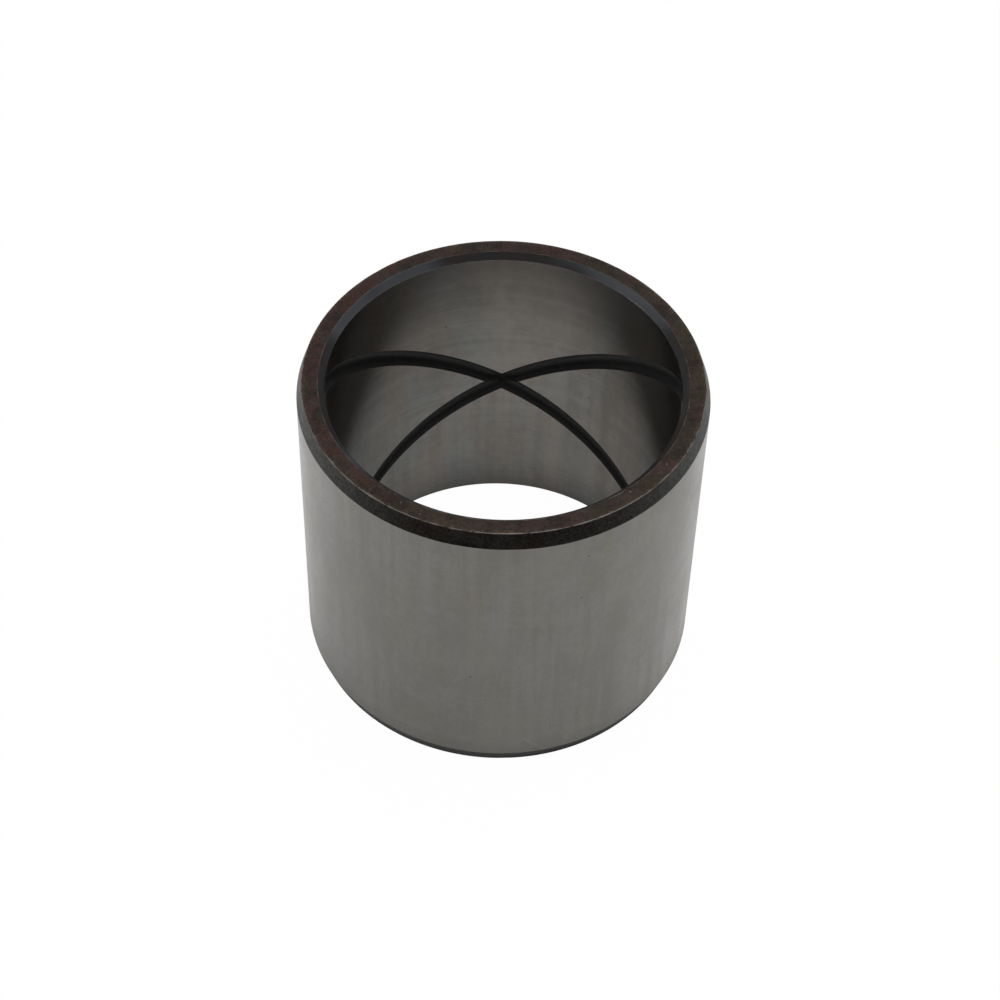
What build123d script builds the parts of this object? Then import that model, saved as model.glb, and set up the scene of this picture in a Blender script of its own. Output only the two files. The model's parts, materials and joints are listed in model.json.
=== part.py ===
from build123d import *
import os
from math import atan, cos, degrees, pi, sin, tan

# A hardened steel sleeve bushing, turned and ground in one piece, with crossed oil grooves in its bore.
# Millimetres. The origin is the centre of the lower end face, and +Z runs up the bore.

# Sleeve
bore_d = 95.0
wall = 7.5
length = 97.0
lead_in_height = 4.4  # long shallow taper that starts the sleeve into its housing
lead_in_depth = 1.4
bore_chamfer = 1.7  # 45 degrees, starts the pin into the bore

# Oil grooves: two closed zigzag loops, mirror images of each other, that cross on the +Y and -Y sides
groove_nose = 3.0  # radius of the round-nosed cutter
groove_depth = 1.5
second_cut_extra = 0.1  # the loop cut second is this much deeper, so one floor runs clean across the other
groove_land = 1.2  # plain bore left between a groove's lip and the bore chamfer
upper_turn_radius = 4.0  # along the groove's middle, on the unrolled bore
lower_turn_radius = 21.5
turn_steps = 8

bore_r = bore_d / 2
outside_r = bore_r + wall
seam_turn = 45.0  # the sleeve's own seam lies between the grooves' turns and their crossings

# Heights where the straight runs of a loop would meet if its turns were sharp
groove_half_width = (2 * groove_nose * groove_depth - groove_depth**2) ** 0.5
crest_inset = bore_chamfer + groove_land + groove_half_width
helix_angle = 0.0
for settling_pass in range(20):  # the peaks and the slope of the runs depend on each other
    turn_rise = 1 / cos(helix_angle) - 1
    upper_peak = length - crest_inset + upper_turn_radius * turn_rise
    lower_peak = crest_inset - lower_turn_radius * turn_rise
    loop_rise = upper_peak - lower_peak
    helix_angle = atan(loop_rise / (pi * bore_r))  # each run climbs the whole height in half a turn


def turn_end(radius):
    """Angle about the bore from a turn's crest to where its arc meets the straight run."""
    return radius * sin(helix_angle) / bore_r


def turn_points(path_r, peak, radius, side, way):
    """Points along a turn: side is 1 about +X or -1 about -X, way is 1 for a crest or -1 for a trough."""
    centre = peak - way * radius / cos(helix_angle)
    points = []
    for step in range(turn_steps + 1):
        lean = helix_angle * (2 * step / turn_steps - 1)
        around = radius * sin(lean) / bore_r
        height = centre + way * radius * cos(lean)
        points.append((side * path_r * cos(around), side * path_r * sin(around), height))
    return points


def loop_paths(cut_depth):
    """The path of the cutter's centre round one loop: a run up, a turn, a run down and a turn."""
    path_r = bore_r + cut_depth - groove_nose
    start_turn = turn_end(lower_turn_radius)
    start_height = lower_peak + start_turn * bore_r * tan(helix_angle)
    end_height = upper_peak - turn_end(upper_turn_radius) * bore_r * tan(helix_angle)
    run = Helix(2 * loop_rise, end_height - start_height, path_r)
    run_up = Pos(0, 0, start_height) * Rot(0, 0, degrees(start_turn)) * run
    run_down = mirror(run_up, about=Plane.XZ)
    start = run_up % 0
    end = run_up % 1
    lower_turn = Spline(
        *turn_points(path_r, lower_peak, lower_turn_radius, 1, -1),
        tangents=[(-start.X, start.Y, -start.Z), start],
    )
    upper_turn = Spline(
        *turn_points(path_r, upper_peak, upper_turn_radius, -1, 1),
        tangents=[end, (-end.X, end.Y, -end.Z)],
    )
    return [run_up, upper_turn, run_down, lower_turn]


def groove_cutter(path):
    """The round-nosed cutter swept along one path, with its seam on the side in the open bore."""
    start = path @ 0
    with BuildPart() as cutter:
        with BuildSketch(Plane(origin=start, x_dir=(-start.X, -start.Y, 0), z_dir=path % 0)):
            Circle(groove_nose)
        sweep(path=path)
    return cutter.part


first_loop = [groove_cutter(path) for path in loop_paths(groove_depth)]
second_cut_depth = groove_depth + second_cut_extra
second_loop = [mirror(groove_cutter(path), about=Plane.YZ) for path in loop_paths(second_cut_depth)]

# The wall's section, turned about the bore's axis, then grooved
with BuildPart() as bushing_sleeve:
    with BuildSketch(Plane.XZ.rotated((0, 0, seam_turn))):
        with BuildLine():
            Polyline(
                (bore_r + bore_chamfer, 0),
                (outside_r - lead_in_depth, 0),
                (outside_r, lead_in_height),
                (outside_r, length - lead_in_height),
                (outside_r - lead_in_depth, length),
                (bore_r + bore_chamfer, length),
                (bore_r, length - bore_chamfer),
                (bore_r, bore_chamfer),
                close=True,
            )
        make_face()
    revolve(axis=Axis.Z)
    for cutter in first_loop + second_loop:
        add(cutter, mode=Mode.SUBTRACT)

os.makedirs("parts", exist_ok=True)
bushing_sleeve.part.label = "bushing_sleeve"
export_step(bushing_sleeve.part, "parts/bushing_sleeve.step")
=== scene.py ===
import json
import random
from math import acos, atan, cos, pi, radians, sin, sqrt, tan

import bmesh
import bpy
from mathutils import Matrix, Vector, noise


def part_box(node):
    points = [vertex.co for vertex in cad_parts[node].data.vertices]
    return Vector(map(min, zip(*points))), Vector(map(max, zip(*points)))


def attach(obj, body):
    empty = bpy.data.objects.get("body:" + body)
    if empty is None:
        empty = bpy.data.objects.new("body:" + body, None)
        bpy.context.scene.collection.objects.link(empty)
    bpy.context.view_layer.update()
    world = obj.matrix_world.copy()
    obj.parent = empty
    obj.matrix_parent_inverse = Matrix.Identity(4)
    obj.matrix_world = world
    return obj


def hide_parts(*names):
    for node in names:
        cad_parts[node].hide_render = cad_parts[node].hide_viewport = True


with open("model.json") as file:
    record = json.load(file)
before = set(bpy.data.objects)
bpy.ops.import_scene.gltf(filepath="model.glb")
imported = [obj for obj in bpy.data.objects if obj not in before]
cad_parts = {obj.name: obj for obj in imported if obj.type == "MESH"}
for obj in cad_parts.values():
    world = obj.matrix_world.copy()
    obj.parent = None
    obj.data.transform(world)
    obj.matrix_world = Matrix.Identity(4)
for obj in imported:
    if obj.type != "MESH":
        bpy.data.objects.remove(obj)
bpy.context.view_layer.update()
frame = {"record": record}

print("frame: one steel sleeve loaded")

# Lengths are metres. Sizes that the frame knows are read from it.
mounts = {mount["name"]: mount for mount in frame["record"]["mounts"]}
lowCorner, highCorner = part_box("bushing_sleeve")

sleeve = {
    "outsideRadius": min(highCorner.x, highCorner.y, -lowCorner.x, -lowCorner.y),
    "boreRadius": mounts["bore"]["dims"]["r_mm"] / 1000,
    "length": highCorner.z,
    "leadInDepth": 0.0014,
    "faceEdgeRound": 0.00022,  # worn round between an end face and its taper
    "boreEdgeRound": 0.00016,
    "chamferEdgeRound": 0.00005,  # where the chamfer meets the bore
    "seatEdgeRound": 0.0012,  # very blunt corner, so a long round
    "columns": 720,
    "turnColumns": 28,  # extra columns on each side of a groove's turn
    "turnColumnsReach": radians(5),
    "closestColumns": 1e-5,  # radians
    "weldDistance": 2e-7,
    "sharpAngle": radians(32),
}
sleeve["leadInHeight"] = (sleeve["length"] - mounts["housing_seat"]["dims"]["length_mm"] / 1000) / 2
sleeve["boreChamfer"] = (sleeve["length"] - mounts["bore"]["dims"]["length_mm"] / 1000) / 2
sleeve["faceOuter"] = sleeve["outsideRadius"] - sleeve["leadInDepth"]
sleeve["faceInner"] = sleeve["boreRadius"] + sleeve["boreChamfer"]

groove = {
    "nose": 0.003,  # radius of the round-nosed cutter
    "depth": 0.0015,
    "land": 0.0012,  # plain bore between a lip and the bore chamfer
    "upperTurn": 0.004,  # radii on the unrolled bore, at the groove's middle
    "lowerTurn": 0.0215,
    "lipRound": 0.00006,
    "floorRows": 10,
    "plainRows": 3,
    "settlingPasses": 20,
}

nicks = {
    "count": 46,
    "depth": 0.00016,
    "depthSpread": (0.2, 1.6),
    "width": 0.00055,
    "widthSpread": (0.4, 1.6),
    "edges": ["upperOuter", "upperInner", "lowerOuter", "upperOuter"],  # the upper outer edge gets the most
    "seed": 11,
}

edgeWander = {"share": 0.35, "waves": 9}  # how unevenly the edges are rounded


def grooveCourse():
    # Where the zigzag's straight runs and turns lie on the unrolled bore
    halfWidth = sqrt(2 * groove["nose"] * groove["depth"] - groove["depth"] ** 2)
    inset = sleeve["boreChamfer"] + groove["land"] + halfWidth
    halfRound = pi * sleeve["boreRadius"]
    lean = 0
    for _ in range(groove["settlingPasses"]):  # the peaks and the slope depend on each other
        upperPeak = sleeve["length"] - inset + groove["upperTurn"] * (1 / cos(lean) - 1)
        lowerPeak = inset - groove["lowerTurn"] * (1 / cos(lean) - 1)
        lean = atan((upperPeak - lowerPeak) / halfRound)
    return {
        "halfRound": halfRound,
        "lean": lean,
        "upperCentre": upperPeak - groove["upperTurn"] / cos(lean),
        "lowerCentre": lowerPeak + groove["lowerTurn"] / cos(lean),
        "crossing": (upperPeak + lowerPeak) / 2,
        "cornerReach": halfWidth / sin(lean),
    }


course = grooveCourse()


def grooveHeight(along, offset):
    # Height of the line that keeps this offset from a groove's middle, at a distance from its upper turn
    upperTurn = groove["upperTurn"] + offset
    lowerTurn = groove["lowerTurn"] - offset
    fromLower = course["halfRound"] - along
    if along < upperTurn * sin(course["lean"]):
        return course["upperCentre"] + sqrt(upperTurn**2 - along**2)
    if fromLower < lowerTurn * sin(course["lean"]):
        return course["lowerCentre"] - sqrt(lowerTurn**2 - fromLower**2)
    return course["upperCentre"] + upperTurn / cos(course["lean"]) - along * tan(course["lean"])


def grooveOffsets():
    # Offsets from a groove's middle where its rows of points run: close together over each lip
    floorDrop = groove["nose"] - groove["depth"]
    lip = [
        sqrt(groove["nose"] ** 2 - (floorDrop + step * groove["lipRound"]) ** 2)
        for step in (-1, -0.5, 0, 0.5, 1)
    ]
    reach = acos((floorDrop + groove["lipRound"]) / groove["nose"])
    rows = groove["floorRows"]
    floor = [groove["nose"] * sin(reach * (2 * row / rows - 1)) for row in range(1, rows)]
    return [-offset for offset in lip] + floor + lip[::-1]


def cutDepth(offset):
    # How far the cutter went into the bore at this offset, with the lips rounded over
    if abs(offset) >= groove["nose"]:
        return 0
    cut = sqrt(groove["nose"] ** 2 - offset**2) - (groove["nose"] - groove["depth"])
    soft = groove["lipRound"]
    if cut >= soft:
        return cut
    return max(cut + soft, 0) ** 2 / (4 * soft)


def grooveRows(along, side):
    # One groove's rows at a column. Past the crossing's height the other groove takes over
    rows = []
    for offset in grooveOffsets():
        height = grooveHeight(along, offset)
        if side * (height - course["crossing"]) < 0:
            height = course["crossing"]
            offset = (height - grooveHeight(along, 0)) * cos(course["lean"])
        rows.append((sleeve["boreRadius"] + cutDepth(offset), height))
    return rows


def between(start, end, count):
    # Rows evenly spaced on the plain bore, without the two ends
    radius = sleeve["boreRadius"]
    return [(radius, start + (end - start) * row / (count + 1)) for row in range(1, count + 1)]


def roundCorner(before, corner, after, radius, steps):
    # A corner of the wall's section, rounded with an arc
    toBefore = (Vector(before) - Vector(corner)).normalized()
    toAfter = (Vector(after) - Vector(corner)).normalized()
    half = toBefore.angle(toAfter) / 2
    middle = Vector(corner) + (toBefore + toAfter).normalized() * radius / sin(half)
    start = Vector(corner) + toBefore * radius / tan(half) - middle
    end = Vector(corner) + toAfter * radius / tan(half) - middle
    turn = start.angle_signed(end)
    return [tuple(middle + Matrix.Rotation(-turn * step / steps, 2) @ start) for step in range(steps + 1)]


def nickList():
    # Small dings round each sharp edge: angle, width and depth
    draw = random.Random(nicks["seed"])
    return [
        {
            "turn": draw.uniform(-pi, pi),
            "width": nicks["width"] * draw.uniform(*nicks["widthSpread"]),
            "depth": nicks["depth"] * draw.uniform(*nicks["depthSpread"]),
            "edge": draw.choice(nicks["edges"]),
        }
        for _ in range(nicks["count"])
    ]


dings = nickList()


def edgeRound(edge, turn, radius, usual):
    # The round along an edge is a little uneven, and wider at each ding
    place = Vector((cos(turn), sin(turn), usual * 1000))
    size = usual * (1 + edgeWander["share"] * noise.noise(place * edgeWander["waves"]))
    for ding in dings:
        if ding["edge"] == edge:
            apart = (turn - ding["turn"] + pi) % (2 * pi) - pi
            size += ding["depth"] * 2 ** -((apart * radius / ding["width"]) ** 2)
    return size


def columnRows(turn):
    # All points of the wall's section at one angle, each with the finish of the band that follows it
    outside, bore, length = sleeve["outsideRadius"], sleeve["boreRadius"], sleeve["length"]
    faceInner, faceOuter = sleeve["faceInner"], sleeve["faceOuter"]
    corners = [
        (faceInner, 0),
        (faceOuter, 0),
        (outside, sleeve["leadInHeight"]),
        (outside, length - sleeve["leadInHeight"]),
        (faceOuter, length),
        (faceInner, length),
        (bore, length - sleeve["boreChamfer"]),
        (bore, sleeve["boreChamfer"]),
    ]
    rounds = [
        ("lowerInner", sleeve["boreEdgeRound"], 4, "scaledFace"),
        ("lowerOuter", sleeve["faceEdgeRound"], 4, "scaledTaper"),
        ("seat", sleeve["seatEdgeRound"], 3, "groundOutside"),
        ("seat", sleeve["seatEdgeRound"], 3, "scaledTaper"),
        ("upperOuter", sleeve["faceEdgeRound"], 4, "scaledFace"),
        ("upperInner", sleeve["boreEdgeRound"], 4, "turnedChamfer"),
        ("bore", sleeve["chamferEdgeRound"], 3, "groundBore"),
        ("bore", sleeve["chamferEdgeRound"], 3, "turnedChamfer"),
    ]
    rows = []
    for index, (edge, usual, steps, finish) in enumerate(rounds):
        corner = corners[index]
        size = edgeRound(edge, turn, corner[0], usual)
        arc = roundCorner(corners[index - 1], corner, corners[(index + 1) % len(corners)], size, steps)
        if index == len(rounds) - 1:
            rows += grooveBand(turn, rows[-1][1], arc[0][1])
        rows += [(radius, height, finish) for radius, height in arc]
    return rows


def grooveBand(turn, top, bottom):
    # The bore from its upper to its lower chamfer, down over both grooves
    around = sleeve["boreRadius"] * abs((turn + pi) % (2 * pi) - pi)
    upperAlong = min(around, course["halfRound"] - around)
    upper = grooveRows(upperAlong, 1)[::-1]
    lower = grooveRows(course["halfRound"] - upperAlong, -1)[::-1]
    plain = groove["plainRows"]
    rows = [(r, h, "groundBore") for r, h in between(top, upper[0][1], plain)]
    rows += [(r, h, "blackGroove") for r, h in upper[:-1]] + [(*upper[-1], "groundBore")]
    rows += [(r, h, "groundBore") for r, h in between(upper[-1][1], lower[0][1], plain)]
    rows += [(r, h, "blackGroove") for r, h in lower[:-1]] + [(*lower[-1], "groundBore")]
    rows += [(r, h, "groundBore") for r, h in between(lower[-1][1], bottom, plain)]
    return rows


def columnTurns():
    # Angles of the columns, with more where a groove turns and one exactly at each corner of a crossing
    turns = {round(2 * pi * column / sleeve["columns"] - pi, 9) for column in range(sleeve["columns"])}
    for middle in (0, pi):
        for column in range(-sleeve["turnColumns"], sleeve["turnColumns"] + 1):
            turn = middle + sleeve["turnColumnsReach"] * column / sleeve["turnColumns"]
            turns.add(round((turn + pi) % (2 * pi) - pi, 9))
    corner = course["cornerReach"] / sleeve["boreRadius"]
    for middle in (-pi / 2, pi / 2):
        turns |= {round(middle - corner, 9), round(middle, 9), round(middle + corner, 9)}
    kept = []
    for turn in sorted(turns):
        if not kept or turn - kept[-1] > sleeve["closestColumns"]:
            kept.append(turn)
    return kept


def buildSleeve(finishes):
    turns = columnTurns()
    columns = [columnRows(turn) for turn in turns]
    mesh = bpy.data.meshes.new("steel_sleeve")
    bm = bmesh.new()
    grid = [
        [bm.verts.new((radius * cos(turn), radius * sin(turn), height)) for radius, height, _ in rows]
        for turn, rows in zip(turns, columns)
    ]
    names = list(finishes)
    rowCount = len(grid[0])
    for column in range(len(grid)):
        left, right = grid[column], grid[(column + 1) % len(grid)]
        for row in range(rowCount):
            above = (row + 1) % rowCount
            face = bm.faces.new((left[row], right[row], right[above], left[above]))
            face.material_index = names.index(columns[column][row][2])
            face.smooth = True
    bmesh.ops.remove_doubles(bm, verts=bm.verts, dist=sleeve["weldDistance"])
    bmesh.ops.recalc_face_normals(bm, faces=bm.faces)
    bm.to_mesh(mesh)
    bm.free()
    mesh.set_sharp_from_angle(angle=sleeve["sharpAngle"])
    for name in names:
        mesh.materials.append(finishes[name])
    piece = bpy.data.objects.new("steel_sleeve", mesh)
    bpy.context.scene.collection.objects.link(piece)
    weighted = piece.modifiers.new("weighted normals", "WEIGHTED_NORMAL")
    weighted.keep_sharp = True
    print("sleeve:", len(turns), "columns,", rowCount, "rows,", len(mesh.polygons), "faces")
    return piece


nodeSpacing = 180  # in the node editor


def put(tree, kind, values=None, **settings):
    # Adds a node, sets its options, and sets or links its inputs
    node = tree.nodes.new(kind)
    node.location = (nodeSpacing * len(tree.nodes), 0)
    for name, value in settings.items():
        setattr(node, name, value)
    for name, value in (values or {}).items():
        if isinstance(value, bpy.types.NodeSocket):
            tree.links.new(value, node.inputs[name])
        else:
            node.inputs[name].default_value = value
    return node


def calculate(tree, operation, first, second):
    return put(tree, "ShaderNodeMath", {0: first, 1: second}, operation=operation).outputs[0]


def plus(tree, first, second):
    return calculate(tree, "ADD", first, second)


def minus(tree, first, second):
    return calculate(tree, "SUBTRACT", first, second)


def times(tree, first, second):
    return calculate(tree, "MULTIPLY", first, second)


def larger(tree, first, second):
    return calculate(tree, "MAXIMUM", first, second)


def weighed(tree, *shares):
    # Sum of values, each times its share
    total = None
    for value, share in shares:
        part = times(tree, value, share)
        total = part if total is None else plus(tree, total, part)
    return total


def flatLength(tree, first, second):
    # Length of a vector with these two parts
    vector = put(tree, "ShaderNodeCombineXYZ", {"X": first, "Y": second}).outputs[0]
    return put(tree, "ShaderNodeVectorMath", {0: vector}, operation="LENGTH").outputs["Value"]


def spread(tree, value, ends, results=(0, 1)):
    # Maps the stretch between two ends onto two results, smoothly, and holds them past the ends
    sockets = {"Value": value, "From Min": ends[0], "From Max": ends[1]}
    sockets |= {"To Min": results[0], "To Max": results[1]}
    return put(tree, "ShaderNodeMapRange", sockets, interpolation_type="SMOOTHSTEP").outputs["Result"]


def blend(tree, amount, first, second, kind="MIX"):
    node = put(tree, "ShaderNodeMix", {"Factor": amount}, data_type="RGBA", blend_type=kind)
    for socket, value in ((node.inputs[6], first), (node.inputs[7], second)):
        if isinstance(value, bpy.types.NodeSocket):
            tree.links.new(value, socket)
        else:
            socket.default_value = (*value, 1)
    return node.outputs[2]


def stretched(tree, place, scale, turn=None):
    if turn:  # turned first, so that long marks lean
        values = {"Vector": place, "Rotation": turn}
        place = put(tree, "ShaderNodeVectorRotate", values, rotation_type="EULER_XYZ").outputs[0]
    return put(tree, "ShaderNodeVectorMath", {0: place, 1: scale}, operation="MULTIPLY").outputs[0]


def speckle(tree, place, scale, detail, roughness=0.5):
    values = {"Vector": place, "Scale": scale, "Detail": detail, "Roughness": roughness}
    return put(tree, "ShaderNodeTexNoise", values).outputs["Fac"]


def streaky(tree, place, look):
    # A noise drawn out along one way
    return speckle(tree, stretched(tree, place, look["stretch"]), 1, look["detail"], look["roughness"])


def spots(tree, place, cells, share, largest):
    # A mask of round spots, at most one in a cell. share is how many cells have one
    cell = put(tree, "ShaderNodeTexVoronoi", {"Vector": place, "Scale": cells, "Randomness": 1.0}).outputs
    picked = put(tree, "ShaderNodeSeparateColor", {0: cell["Color"]}).outputs
    chosen = calculate(tree, "LESS_THAN", picked[0], share)
    spot = calculate(tree, "LESS_THAN", cell["Distance"], times(tree, picked[1], largest))
    return times(tree, spot, chosen)


def newGroup(name, inputs, outputs):
    group = bpy.data.node_groups.new(name, "ShaderNodeTree")
    for label, value in inputs.items():
        socket = group.interface.new_socket(label, in_out="INPUT", socket_type="NodeSocketFloat")
        socket.default_value = value
    for label in outputs:
        group.interface.new_socket(label, in_out="OUTPUT", socket_type="NodeSocketFloat")
    given = group.nodes.new("NodeGroupInput").outputs
    result = group.nodes.new("NodeGroupOutput").inputs
    place = put(group, "ShaderNodeTexCoord").outputs["Object"]
    return group, given, result, place


wearPatches = {
    "noise": {"scale": 260, "detail": 4, "roughness": 0.65},
    "swing": 6,  # how strongly the noise widens and narrows the wear
    "narrowest": 0.02,
    "fade": (0.35, 1.1),  # where the wear fades out, in widths
}


def makeRingWear():
    # Metal rubbed bare along a round edge, patchy along its length
    inputs = {"Radius": 0.05, "Height": 0.1, "Width": 0.0004, "Patchiness": 0.5}
    group, given, result, place = newGroup("ringWear", inputs, ["Mask"])
    parts = put(group, "ShaderNodeSeparateXYZ", {0: place}).outputs
    out = minus(group, flatLength(group, parts["X"], parts["Y"]), given["Radius"])
    up = minus(group, parts["Z"], given["Height"])
    patches = minus(group, speckle(group, place, **wearPatches["noise"]), 0.5)
    swing = times(group, given["Patchiness"], wearPatches["swing"])
    share = plus(group, times(group, patches, swing), 1)
    width = times(group, given["Width"], larger(group, share, wearPatches["narrowest"]))
    widthsOff = calculate(group, "DIVIDE", flatLength(group, out, up), width)
    group.links.new(spread(group, widthsOff, wearPatches["fade"], (1, 0)), result["Mask"])
    return group


grindNoise = {
    "hair": {"stretch": (14, 14, 5200), "detail": 3, "roughness": 0.7},
    "line": {"stretch": (9, 9, 1500), "detail": 2, "roughness": 0.6},
    "band": {"stretch": (5, 5, 190), "detail": 2, "roughness": 0.5},
    "hairShare": 0.6,  # the lines have the rest
}


def makeGrindMarks():
    # Fine marks that run round the sleeve, in broad bands and in hairlines
    group, given, result, place = newGroup("grindMarks", {"Lines": 1.0, "Bands": 1.0}, ["Tone", "Height"])
    hair, line, band = [streaky(group, place, grindNoise[name]) for name in ("hair", "line", "band")]
    hairShare = grindNoise["hairShare"]
    fine = times(group, weighed(group, (hair, hairShare), (line, 1 - hairShare)), given["Lines"])
    tone = plus(group, fine, times(group, band, given["Bands"]))
    total = plus(group, given["Lines"], given["Bands"])
    group.links.new(calculate(group, "DIVIDE", tone, total), result["Tone"])
    group.links.new(fine, result["Height"])
    return group


cloudNoise = {
    "Streaks": {"stretch": (300, 300, 12), "detail": 4, "roughness": 0.6},
    "Clouds": {"stretch": (60, 60, 38), "detail": 4, "roughness": 0.6},
    "Flecks": {"stretch": (620, 620, 430), "detail": 3, "roughness": 0.6},
    "Warmth": {"stretch": (120, 120, 45), "detail": 3, "roughness": 0.5},
}

streakPatches = {
    "noise": {"scale": 22, "detail": 2},
    "ends": (0.42, 0.60),
    "strength": (0.25, 1.25),
}


def makeClouding():
    # Soft upright streaks and clouds in the sheen, from spark-out and handling
    group, given, result, place = newGroup("clouding", {"Size": 1.0}, list(cloudNoise))
    values = {0: place, "Scale": given["Size"]}
    place = put(group, "ShaderNodeVectorMath", values, operation="SCALE").outputs[0]
    for name, look in cloudNoise.items():
        shade = streaky(group, place, look)
        if name == "Streaks":  # clear in some patches and faint in others
            patches = speckle(group, place, **streakPatches["noise"])
            strength = spread(group, patches, streakPatches["ends"], streakPatches["strength"])
            shade = plus(group, times(group, minus(group, shade, 0.5), strength), 0.5)
        group.links.new(shade, result[name])
    return group


handling = {
    "pitCells": 240.0,
    "largestPit": 0.085,
    "wanderNoise": {"Scale": 2600.0, "Detail": 1.0},  # makes the pits' outlines uneven
    "wander": 0.0007,
    "scratchRuns": [  # how each run of scratches is turned, and then drawn out
        ((0.16, 0.10, 0), (45, 40, 1900)),
        ((-0.52, 0.36, 0), (50, 45, 1800)),
        ((0.80, -0.60, 0), (50, 60, 1900)),
        (None, (1500, 1500, 90)),
    ],
    "scratchNoise": {"scale": 1, "detail": 1, "roughness": 0.4},
    "scratchEnds": (0.74, 0.79),
    "whereNoise": {"scale": 45, "detail": 2},
    "whereEnds": (0.5, 0.62),
}


def makeHandlingMarks():
    # Pits as dark uneven points, and scratches as short thin lines: three runs that lean and one upright
    group, given, result, place = newGroup(
        "handlingMarks", {"Pits": 0.1, "Scratches": 0.1}, ["Pits", "Scratches"]
    )
    wander = put(group, "ShaderNodeTexNoise", {"Vector": place, **handling["wanderNoise"]}).outputs["Color"]
    values = {0: wander, 1: (0.5, 0.5, 0.5)}
    wander = put(group, "ShaderNodeVectorMath", values, operation="SUBTRACT").outputs[0]
    wander = stretched(group, wander, [handling["wander"]] * 3)
    uneven = put(group, "ShaderNodeVectorMath", {0: place, 1: wander}, operation="ADD").outputs[0]
    pits = spots(group, uneven, handling["pitCells"], given["Pits"], handling["largestPit"])
    group.links.new(pits, result["Pits"])
    scratches = None
    for turn, stretch in handling["scratchRuns"]:
        thin = speckle(group, stretched(group, place, stretch, turn), **handling["scratchNoise"])
        line = spread(group, thin, handling["scratchEnds"])
        scratches = line if scratches is None else larger(group, scratches, line)
    where = spread(group, speckle(group, place, **handling["whereNoise"]), handling["whereEnds"])
    shown = times(group, times(group, scratches, where), given["Scratches"])
    group.links.new(shown, result["Scratches"])
    return group


scaleNoise = {
    "tintDetail": 2.0,
    "Blotch": {"scale": 190, "detail": 6, "roughness": 0.7},
    "Grain": {"scale": 1300, "detail": 3, "roughness": 0.75},
    "chipCells": 620.0,
    "largestChip": 0.3,
}


def makeScaleMottle():
    # Heat-treat scale: broad tints, blotches, a fine grain and small chips
    inputs = {"TintScale": 55.0, "TintPattern": 0.0, "Chips": 0.1}
    group, given, result, place = newGroup("scaleMottle", inputs, ["Tint", "Blotch", "Grain", "Chips"])
    values = {"Vector": place, "W": given["TintPattern"], "Scale": given["TintScale"]}
    values["Detail"] = scaleNoise["tintDetail"]
    tints = put(group, "ShaderNodeTexNoise", values, noise_dimensions="4D").outputs["Fac"]
    group.links.new(tints, result["Tint"])
    for name in ("Blotch", "Grain"):
        group.links.new(speckle(group, place, **scaleNoise[name]), result[name])
    chips = spots(group, place, scaleNoise["chipCells"], given["Chips"], scaleNoise["largestChip"])
    group.links.new(chips, result["Chips"])
    return group


groups = {
    "ringWear": makeRingWear(),
    "grindMarks": makeGrindMarks(),
    "clouding": makeClouding(),
    "handlingMarks": makeHandlingMarks(),
    "scaleMottle": makeScaleMottle(),
}
print("effects:", ", ".join(groups))


def use(tree, name, **values):
    node = tree.nodes.new("ShaderNodeGroup")
    node.node_tree = groups[name]
    node.location = (nodeSpacing * len(tree.nodes), 300)
    for label, value in values.items():
        node.inputs[label].default_value = value
    return node.outputs


def newFinish(name, **constants):
    material = bpy.data.materials.new(name)
    material.use_nodes = True
    tree = material.node_tree
    shader = tree.nodes["Principled BSDF"]
    for label, value in constants.items():
        shader.inputs[label.replace("_", " ")].default_value = value
    return material, tree, shader


def bump(tree, shader, height, strength, distance):
    node = put(tree, "ShaderNodeBump", {"Height": height, "Strength": strength, "Distance": distance})
    tree.links.new(node.outputs[0], shader.inputs["Normal"])


def edgeWear(tree, edges, patchiness):
    # Wear along edges at both ends of the sleeve, each given by its radius, distance from the end and width
    wear = None
    for radius, inset, width in edges:
        for height in (inset, sleeve["length"] - inset):
            ring = use(tree, "ringWear", Radius=radius, Height=height, Width=width, Patchiness=patchiness)
            wear = ring["Mask"] if wear is None else larger(tree, wear, ring["Mask"])
    return wear


def grained(tree, colour, grain, look):
    # The colour, darkened and lightened by a fine grain
    shade = blend(tree, spread(tree, grain, look["grainEnds"]), look["grainDark"], look["grainLight"])
    return blend(tree, 1.0, colour, shade, "MULTIPLY")


def slantOf(tree):
    return put(tree, "ShaderNodeLayerWeight", {"Blend": 0.5}).outputs["Facing"]


groundSteel = {
    "anisotropic": 0.5,
    "anisotropicTurn": 0.25,
    "sheenShares": {"Streaks": 0.36, "Clouds": 0.42, "Flecks": 0.22},
    "toneEnds": (0.41, 0.59),
    "warmthEnds": (0.38, 0.62),
    "slantEnds": (0.35, 0.52),
    "roughEnds": (0.3, 0.7),
    "pitShare": 0.8,
    "pitDepth": 2.5,
    "scratchRoughness": 0.12,
    "bumpDistance": 0.00004,
}


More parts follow.
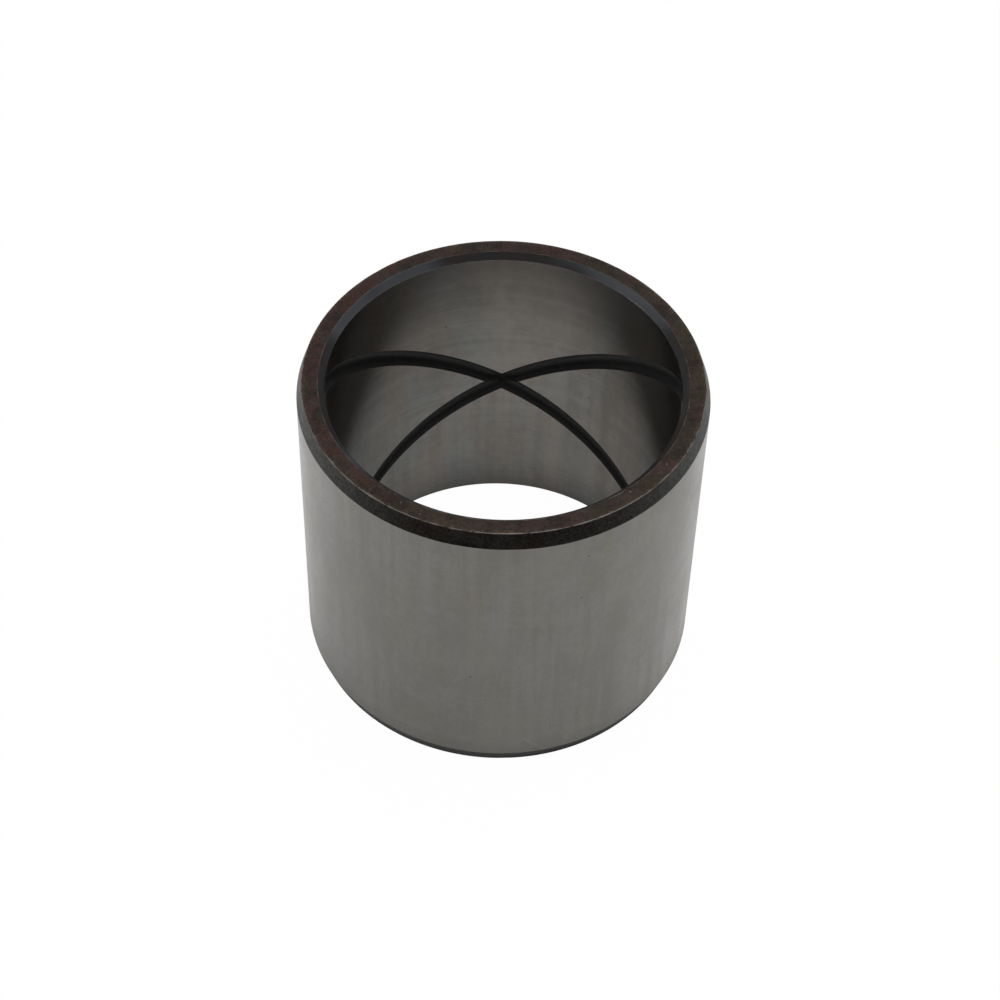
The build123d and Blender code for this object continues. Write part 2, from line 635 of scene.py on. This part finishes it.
def makeGroundSteel(name, look):
    material, tree, shader = newFinish(
        name, Metallic=1.0, Anisotropic=groundSteel["anisotropic"],
        Anisotropic_Rotation=groundSteel["anisotropicTurn"], Specular_Tint=(*look["edgeTint"], 1),
    )
    grind = use(tree, "grindMarks", Lines=look["lines"], Bands=look["bands"])
    cloud = use(tree, "clouding", Size=look["cloudSize"])
    marks = use(tree, "handlingMarks", Pits=look["pits"], Scratches=look["scratches"])
    sheen = weighed(tree, *[(cloud[label], share) for label, share in groundSteel["sheenShares"].items()])
    tone = weighed(tree, (grind["Tone"], look["grindShare"]), (sheen, 1 - look["grindShare"]))
    colour = blend(tree, spread(tree, tone, groundSteel["toneEnds"]), look["dark"], look["light"])
    warm = spread(tree, cloud["Warmth"], groundSteel["warmthEnds"])
    colour = blend(tree, warm, colour, look["warmth"], "MULTIPLY")
    # Painted sheen: the metal's colour is made paler at a slant, through Layer Weight
    if look["paintedSlantSheen"]:
        slant = spread(tree, slantOf(tree), groundSteel["slantEnds"])
        colour = blend(tree, slant, colour, look["paintedSlantSheen"], "MULTIPLY")
    colour = blend(tree, times(tree, marks["Pits"], groundSteel["pitShare"]), colour, look["pit"])
    colour = blend(tree, marks["Scratches"], colour, look["scratch"])
    tree.links.new(colour, shader.inputs["Base Color"])
    rough = spread(tree, tone, groundSteel["roughEnds"], (look["roughest"], look["smoothest"]))
    rough = plus(tree, rough, times(tree, marks["Scratches"], groundSteel["scratchRoughness"]))
    tree.links.new(rough, shader.inputs["Roughness"])
    height = minus(tree, grind["Height"], times(tree, marks["Pits"], groundSteel["pitDepth"]))
    bump(tree, shader, height, look["bump"], groundSteel["bumpDistance"])
    return material


outsideLook = {
    "dark": (0.150, 0.1465, 0.138),
    "light": (0.174, 0.1705, 0.163),
    "warmth": (1.02, 0.995, 0.945),
    "paintedSlantSheen": (1.07, 1.07, 1.07),  # painted sheen: the ground steel is made a little paler at a slant
    "edgeTint": (1, 1, 1),
    "pit": (0.03, 0.028, 0.026),
    "scratch": (0.26, 0.255, 0.25),
    "lines": 0.8,
    "bands": 0.3,
    "grindShare": 0.22,
    "cloudSize": 1.0,
    "pits": 0.32,
    "scratches": 0.34,
    "roughest": 0.34,
    "smoothest": 0.22,
    "bump": 0.25,
}

boreLook = {
    "dark": (0.169, 0.168, 0.160),
    "light": (0.220, 0.2185, 0.209),
    "warmth": (1.05, 0.975, 0.94),
    "paintedSlantSheen": None,
    "edgeTint": (0.55, 0.55, 0.55),
    "pit": (0.02, 0.019, 0.018),
    "scratch": (0.22, 0.215, 0.21),
    "lines": 0.7,
    "bands": 0.28,
    "grindShare": 0.36,
    "cloudSize": 0.8,
    "pits": 0.12,
    "scratches": 0.10,
    "roughest": 0.285,
    "smoothest": 0.225,
    "bump": 0.03,
}

faceLook = {
    "dark": (0.0096, 0.0058, 0.0046),
    "light": (0.0266, 0.0166, 0.0130),
    "blotchEnds": (0.36, 0.66),
    "red": (0.0305, 0.0136, 0.0108),
    "redEnds": (0.48, 0.64),
    "redShare": 0.7,
    "olive": (0.0195, 0.0148, 0.0076),
    "oliveEnds": (0.36, 0.50),
    "oliveShare": 0.8,
    "tintScale": 140.0,
    "grainDark": (0.62, 0.60, 0.58),
    "grainLight": (1.36, 1.34, 1.30),
    "grainEnds": (0.34, 0.66),
    "rust": (0.115, 0.085, 0.055),  # fine speckle by the outer edge
    "rustWidth": 0.0012,
    "rustPatchiness": 0.25,
    "rustEnds": (0.54, 0.66),
    "rustShares": (0.05, 0.45),
    "chips": 0.06,
    "chipShare": 0.5,
    "chipDepth": 0.8,
    "bare": (0.10, 0.092, 0.085),
    "bareShare": 0.85,
    "bareMetal": 0.9,
    "outerWear": 0.00026,
    "innerWear": 0.00014,
    "patchiness": 0.85,
    "roughEnds": (0.3, 0.7),
    "roughness": (0.62, 0.44),
    "wearPolish": 0.12,
    "grainHeight": 0.4,
    "bump": 0.3,
    "bumpDistance": 0.00008,
}


def makeScaledFace():
    material, tree, shader = newFinish("scaledFace", Specular_IOR_Level=0.1)
    look = faceLook
    mottle = use(tree, "scaleMottle", TintScale=look["tintScale"], Chips=look["chips"])
    colour = blend(tree, spread(tree, mottle["Blotch"], look["blotchEnds"]), look["dark"], look["light"])
    red = spread(tree, mottle["Tint"], look["redEnds"], (0, look["redShare"]))
    colour = blend(tree, red, colour, look["red"])
    olive = spread(tree, mottle["Tint"], look["oliveEnds"], (look["oliveShare"], 0))
    colour = blend(tree, olive, colour, look["olive"])
    colour = grained(tree, colour, mottle["Grain"], look)
    rim = use(
        tree, "ringWear", Radius=sleeve["faceOuter"], Height=sleeve["length"],
        Width=look["rustWidth"], Patchiness=look["rustPatchiness"],
    )
    rust = times(tree, rim["Mask"], spread(tree, mottle["Grain"], look["rustEnds"], look["rustShares"]))
    colour = blend(tree, rust, colour, look["rust"])
    edges = [(sleeve["faceOuter"], 0, look["outerWear"]), (sleeve["faceInner"], 0, look["innerWear"])]
    wear = edgeWear(tree, edges, look["patchiness"])
    bare = larger(tree, wear, times(tree, mottle["Chips"], look["chipShare"]))
    colour = blend(tree, times(tree, bare, look["bareShare"]), colour, look["bare"])
    tree.links.new(colour, shader.inputs["Base Color"])
    tree.links.new(times(tree, bare, look["bareMetal"]), shader.inputs["Metallic"])
    rough = spread(tree, mottle["Blotch"], look["roughEnds"], look["roughness"])
    rough = minus(tree, rough, times(tree, wear, look["wearPolish"]))
    tree.links.new(rough, shader.inputs["Roughness"])
    height = plus(tree, times(tree, mottle["Grain"], look["grainHeight"]), mottle["Blotch"])
    height = minus(tree, height, times(tree, mottle["Chips"], look["chipDepth"]))
    bump(tree, shader, height, look["bump"], look["bumpDistance"])
    return material


taperLook = {
    "dark": (0.0040, 0.0038, 0.0036),
    "light": (0.0130, 0.0124, 0.0117),
    "toneEnds": (0.35, 0.65),
    "blotchShare": 0.6,  # the turning marks have the rest of the tone
    "lines": 0.4,
    "bands": 1.0,
    "brown": (0.0095, 0.0068, 0.0052),
    "brownEnds": (0.5, 0.62),
    "brownShare": 0.7,
    "paintedSlantHaze": (0.0385, 0.0385, 0.039),  # painted sheen: the scale is made paler at a slant
    "paintedHazeEnds": (0.13, 0.60),
    "grainDark": (0.64, 0.62, 0.59),
    "grainLight": (1.62, 1.59, 1.54),
    "grainEnds": (0.34, 0.66),
    "chips": 0.015,
    "chipShare": 0.4,
    "bare": (0.085, 0.080, 0.075),
    "bareShare": 0.8,
    "outerWear": 0.00024,
    "patchiness": 0.6,
    "roughEnds": (0.3, 0.7),
    "roughness": (0.55, 0.42),
    "lineHeight": 2,
    "bump": 0.2,
    "bumpDistance": 0.00003,
}


def makeScaledTaper():
    material, tree, shader = newFinish("scaledTaper", Metallic=1.0)
    look = taperLook
    mottle = use(tree, "scaleMottle", Chips=look["chips"])
    grind = use(tree, "grindMarks", Lines=look["lines"], Bands=look["bands"])
    tone = weighed(tree, (mottle["Blotch"], look["blotchShare"]), (grind["Tone"], 1 - look["blotchShare"]))
    colour = blend(tree, spread(tree, tone, look["toneEnds"]), look["dark"], look["light"])
    brown = spread(tree, mottle["Tint"], look["brownEnds"], (0, look["brownShare"]))
    colour = blend(tree, brown, colour, look["brown"])
    # Painted sheen: the scale's colour is blended paler at a slant, through Layer Weight
    colour = blend(tree, spread(tree, slantOf(tree), look["paintedHazeEnds"]), colour, look["paintedSlantHaze"])
    colour = grained(tree, colour, mottle["Grain"], look)
    wear = edgeWear(tree, [(sleeve["faceOuter"], 0, look["outerWear"])], look["patchiness"])
    bare = larger(tree, wear, times(tree, mottle["Chips"], look["chipShare"]))
    colour = blend(tree, times(tree, bare, look["bareShare"]), colour, look["bare"])
    tree.links.new(colour, shader.inputs["Base Color"])
    tree.links.new(spread(tree, tone, look["roughEnds"], look["roughness"]), shader.inputs["Roughness"])
    height = plus(tree, mottle["Grain"], times(tree, grind["Height"], look["lineHeight"]))
    bump(tree, shader, height, look["bump"], look["bumpDistance"])
    return material


chamferLook = {
    "brown": (0.011, 0.0078, 0.0065),
    "dark": (0.0085, 0.0088, 0.0105),
    "blotchEnds": (0.38, 0.6),
    "light": (0.040, 0.043, 0.050),  # cool heat tint in broad patches, placed as painted reflection: pale at the sides, dark where the chamfer faces the camera
    "tintAndReflectionEnds": (0.485, 0.60),
    "tintScale": 24.0,
    "tintAndReflectionPattern": 142.0,  # another number puts the patches elsewhere; this one places the painted reflection
    "lines": 1.0,
    "bands": 0.3,
    "chips": 0.02,
    "chipShare": 0.5,
    "bare": (0.10, 0.10, 0.10),
    "bareShare": 0.8,
    "bareMetal": 0.9,
    "boreWear": 0.00006,
    "patchiness": 0.7,
    "roughEnds": (0.3, 0.7),
    "roughness": (0.5, 0.34),
    "grainHeight": 0.6,
    "bump": 0.3,
    "bumpDistance": 0.00005,
}


def makeTurnedChamfer():
    material, tree, shader = newFinish("turnedChamfer", Specular_IOR_Level=0.15)
    look = chamferLook
    mottle = use(
        tree, "scaleMottle", TintScale=look["tintScale"], TintPattern=look["tintAndReflectionPattern"], Chips=look["chips"]
    )
    grind = use(tree, "grindMarks", Lines=look["lines"], Bands=look["bands"])
    colour = blend(tree, spread(tree, mottle["Blotch"], look["blotchEnds"]), look["brown"], look["dark"])
    # Partly real heat tint, partly painted reflection: pale patches at the sides, a dark brown middle where
    # the chamfer faces the camera
    colour = blend(tree, spread(tree, mottle["Tint"], look["tintAndReflectionEnds"]), colour, look["light"])
    edge = (sleeve["boreRadius"], sleeve["boreChamfer"], look["boreWear"])
    wear = edgeWear(tree, [edge], look["patchiness"])
    bare = larger(tree, wear, times(tree, mottle["Chips"], look["chipShare"]))
    colour = blend(tree, times(tree, bare, look["bareShare"]), colour, look["bare"])
    tree.links.new(colour, shader.inputs["Base Color"])
    tree.links.new(times(tree, bare, look["bareMetal"]), shader.inputs["Metallic"])
    rough = spread(tree, mottle["Blotch"], look["roughEnds"], look["roughness"])
    tree.links.new(rough, shader.inputs["Roughness"])
    height = plus(tree, grind["Height"], times(tree, mottle["Grain"], look["grainHeight"]))
    bump(tree, shader, height, look["bump"], look["bumpDistance"])
    return material


grooveLook = {
    "dark": (0.0015, 0.0015, 0.0014),
    "light": (0.006, 0.0058, 0.0054),
    "blotchEnds": (0.35, 0.65),
    "roughEnds": (0.3, 0.7),
    "roughness": (0.6, 0.42),
    "bump": 0.35,
    "bumpDistance": 0.00006,
}


def makeBlackGroove():
    material, tree, shader = newFinish("blackGroove", Specular_IOR_Level=0.4)
    look = grooveLook
    mottle = use(tree, "scaleMottle")
    colour = blend(tree, spread(tree, mottle["Blotch"], look["blotchEnds"]), look["dark"], look["light"])
    tree.links.new(colour, shader.inputs["Base Color"])
    rough = spread(tree, mottle["Grain"], look["roughEnds"], look["roughness"])
    tree.links.new(rough, shader.inputs["Roughness"])
    bump(tree, shader, mottle["Grain"], look["bump"], look["bumpDistance"])
    return material


finishes = {
    "scaledFace": makeScaledFace(),
    "scaledTaper": makeScaledTaper(),
    "groundOutside": makeGroundSteel("groundOutside", outsideLook),
    "turnedChamfer": makeTurnedChamfer(),
    "groundBore": makeGroundSteel("groundBore", boreLook),
    "blackGroove": makeBlackGroove(),
}
print("finishes:", ", ".join(finishes))

steelSleeve = buildSleeve(finishes)
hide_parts("bushing_sleeve")
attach(steelSleeve, "root")

studio = {
    "floorSize": 8.0,
    "floorDrop": 0.00005,  # keeps the floor off the lower end face
    "floorColour": (0.9, 0.9, 0.9),
    "paperNoise": {"scale": 30, "detail": 3},
    "paperShare": 0.04,  # how much paler the paper is in places
    "plainForCamera": 0.985,  # how much of the floor's look is plain white, the rest is lit and shaded
    "plainForGloss": 0.42,
    "innerPaintedShade": 0.020,  # reach of the painted shade at the sleeve's foot: there gloss sees no plain white, only the lit and shaded floor
    "outerPaintedShade": 0.007,
    "ambient": 0.48,
}


def seenDirectly(tree):
    # 1 for rays that the camera, a gloss or a clear material sends
    path = put(tree, "ShaderNodeLightPath").outputs
    seen = larger(tree, path["Is Camera Ray"], path["Is Glossy Ray"])
    return larger(tree, seen, path["Is Transmission Ray"])


def makeFloor():
    material = bpy.data.materials.new("paleFloor")
    material.use_nodes = True
    tree = material.node_tree
    tree.nodes.remove(tree.nodes["Principled BSDF"])
    place = put(tree, "ShaderNodeTexCoord").outputs["Object"]
    paper = times(tree, speckle(tree, place, **studio["paperNoise"]), studio["paperShare"])
    colour = blend(tree, paper, studio["floorColour"], (1, 1, 1))
    lit = put(tree, "ShaderNodeBsdfDiffuse", {"Color": colour})
    plain = put(tree, "ShaderNodeEmission", {"Color": (1, 1, 1, 1), "Strength": 1.0})
    path = put(tree, "ShaderNodeLightPath").outputs
    gloss = larger(tree, path["Is Glossy Ray"], path["Is Transmission Ray"])
    fromAxis = put(tree, "ShaderNodeVectorMath", {0: place}, operation="LENGTH").outputs["Value"]
    # Painted shade: near the sleeve's foot the plain white fades out of what gloss sees, so reflections show
    # the floor darker there; within that ring the shade itself comes from the lamps
    foot = sleeve["faceOuter"]
    inner = spread(tree, fromAxis, (foot - studio["innerPaintedShade"], foot), (1, 0))
    outer = spread(tree, fromAxis, (foot, foot + studio["outerPaintedShade"]))
    gloss = times(tree, times(tree, gloss, larger(tree, inner, outer)), studio["plainForGloss"])
    share = larger(tree, times(tree, path["Is Camera Ray"], studio["plainForCamera"]), gloss)
    mixed = put(tree, "ShaderNodeMixShader", {0: share, 1: lit.outputs[0], 2: plain.outputs[0]})
    tree.links.new(mixed.outputs[0], tree.nodes["Material Output"].inputs["Surface"])
    half = studio["floorSize"] / 2
    mesh = bpy.data.meshes.new("floor")
    corners = [(-half, -half, 0), (half, -half, 0), (half, half, 0), (-half, half, 0)]
    mesh.from_pydata(corners, [], [(0, 1, 2, 3)])
    mesh.materials.append(material)
    floor = bpy.data.objects.new("floor", mesh)
    floor.location.z = lowCorner.z - studio["floorDrop"]
    bpy.context.scene.collection.objects.link(floor)


def makeWorld():
    world = bpy.data.worlds.new("paleRoom")
    world.use_nodes = True
    tree = world.node_tree
    strength = spread(tree, seenDirectly(tree), (0, 1), (studio["ambient"], 1))
    tree.nodes["Background"].inputs["Color"].default_value = (1, 1, 1, 1)
    tree.links.new(strength, tree.nodes["Background"].inputs["Strength"])
    bpy.context.scene.world = world


softLamps = {
    "overheadLamp": {"place": (0.18, 0.30, 1.25), "size": 1.0, "power": 9.3, "colour": (1.0, 0.995, 0.98)},
    "leftLamp": {"place": (-1.1, -0.2, 0.45), "size": 0.6, "power": 3.2, "colour": (0.99, 0.995, 1.0)},
}


def makeLamps():
    centre = Vector((0, 0, sleeve["length"] / 2))
    for name, given in softLamps.items():
        data = bpy.data.lights.new(name, "AREA")
        data.shape = "DISK"
        data.size = given["size"]
        data.energy = given["power"]
        data.color = given["colour"]
        lamp = bpy.data.objects.new(name, data)
        lamp.location = given["place"]
        lamp.rotation_euler = (centre - lamp.location).to_track_quat("-Z", "Y").to_euler()
        bpy.context.scene.collection.objects.link(lamp)


cameraView = {
    "lens": 88.564,
    "nearest": 0.01,
    "above": radians(48.885),
    "round": radians(-0.85),  # turned a little about the bore's axis
    "roll": radians(1.602),
    "distance": 0.68719,
    "aim": Vector((-0.00017, -0.00003, 0.04848)),
}


def makeCamera():
    data = bpy.data.cameras.new("camera")
    data.lens = cameraView["lens"]
    data.clip_start = cameraView["nearest"]
    camera = bpy.data.objects.new("camera", data)
    rise, roll = cameraView["above"], cameraView["roll"]
    back = Vector((0, -cos(rise), sin(rise)))
    right = Vector((cos(roll), sin(roll) * sin(rise), sin(roll) * cos(rise)))
    basis = Matrix((right, back.cross(right), back)).transposed().to_4x4()
    basis.translation = cameraView["aim"] + back * cameraView["distance"]
    camera.matrix_world = Matrix.Rotation(cameraView["round"], 4, "Z") @ basis
    bpy.context.scene.collection.objects.link(camera)
    bpy.context.scene.camera = camera


makeFloor()
makeWorld()
makeLamps()
makeCamera()
bpy.context.scene.view_settings.view_transform = "Standard"
print("studio: floor, world, lamps and camera")
